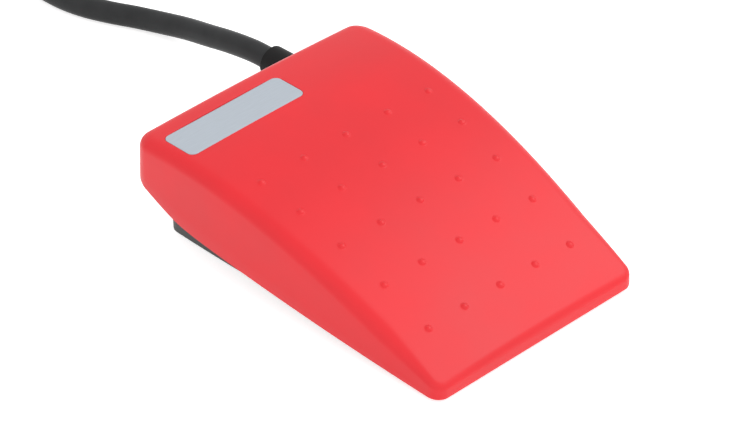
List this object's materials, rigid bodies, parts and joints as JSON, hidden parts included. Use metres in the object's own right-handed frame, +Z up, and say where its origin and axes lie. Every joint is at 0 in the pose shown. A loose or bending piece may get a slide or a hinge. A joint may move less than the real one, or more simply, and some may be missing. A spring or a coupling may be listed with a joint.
{
  "type": "foot switch",
  "caption": "Foot switch: a low wedge-shaped treadle cover with grip dots, hinged at the front of a flat base, with return springs, an inner snap switch and a sheathed lead.",
  "frame": {"origin": "on the floor under the middle of the treadle cover's footprint", "axes": "+Y from the low front lip to the high rear wall where the lead leaves, +X to the right seen from the front lip, +Z up"},
  "size_m": [0.1188, 0.3599, 0.0327],
  "materials": {
    "red_cover": "fine satin texture",
    "label_metal": "satin",
    "base_plastic": "satin",
    "pin_steel": "satin",
    "spring_steel": "satin",
    "switch_plastic": "satin",
    "switch_lid_plastic": "satin",
    "plunger_plastic": "gloss",
    "lever_steel": "satin",
    "blade_metal": "polished",
    "terminal_brass": "satin",
    "screw_steel": "satin",
    "clamp_plastic": "matt",
    "relief_rubber": "matt",
    "cable_sheath": "satin",
    "core_blue": "satin",
    "core_brown": "satin",
    "core_black": "satin",
    "foot_rubber": "matt",
    "tie_plastic": "satin",
    "core_tails": "satin",
    "tinned_copper": "dull"
  },
  "bodies": {
    "base": {"base_housing": "base_plastic", "hinge_pin_left": "pin_steel", "hinge_pin_right": "pin_steel", "return_spring_left": "spring_steel", "return_spring_right": "spring_steel", "switch_case": "switch_plastic", "switch_lid": "switch_lid_plastic", "lever_pin": "pin_steel", "terminal_common": "terminal_brass", "terminal_open": "terminal_brass", "terminal_closed": "terminal_brass", "switch_screws": "screw_steel", "cable_clamp": "clamp_plastic", "clamp_screw": "screw_steel", "strain_relief": "relief_rubber", "cable_end": "cable_sheath", "core_common": "core_blue", "core_open": "core_brown", "core_closed": "core_black", "rubber_feet": "foot_rubber", "cable": "cable_sheath", "cable_coil": "cable_sheath", "coil_ties": "tie_plastic", "core_tails": "core_tails", "tinned_ends": "tinned_copper"},
    "pedal": {"pedal_cover": "red_cover", "label_plate": "label_metal"},
    "lever": {"switch_lever": "lever_steel"},
    "plunger": {"switch_plunger": "plunger_plastic"},
    "blade": {"contact_blade": "blade_metal"}
  },
  "joints": [
    {"name": "pedal_hinge", "type": "hinge", "parent": "base", "child": "pedal", "pos_m": [0, -0.042, 0.0056], "axis": [-1, 0, 0], "range_deg": [0, 4], "stiffness_Nm_per_rad": 4.6, "springref_deg": -5.56, "deforming": ["return_spring_left", "return_spring_right"]},
    {"name": "lever_hinge", "type": "hinge", "parent": "base", "child": "lever", "pos_m": [0, -0.0055, 0.0196], "axis": [-1, 0, 0], "range_deg": [0, 14.5]},
    {"name": "plunger_slide", "type": "slide", "parent": "base", "child": "plunger", "axis": [0, 0, -1], "range_m": [0, 0.00115]},
    {"name": "blade_flex", "type": "hinge", "parent": "base", "child": "blade", "pos_m": [0, -0.0057, 0.0158], "axis": [-1, 0, 0], "range_deg": [0, 3.7]}
  ],
  "couplings": [
    {"joint": "lever_hinge", "follows": "pedal_hinge", "ratio": 3.57},
    {"joint": "plunger_slide", "follows": "pedal_hinge", "m_per_rad": 0.0162},
    {"joint": "blade_flex", "follows": "pedal_hinge", "ratio": 0.91}
  ]
}
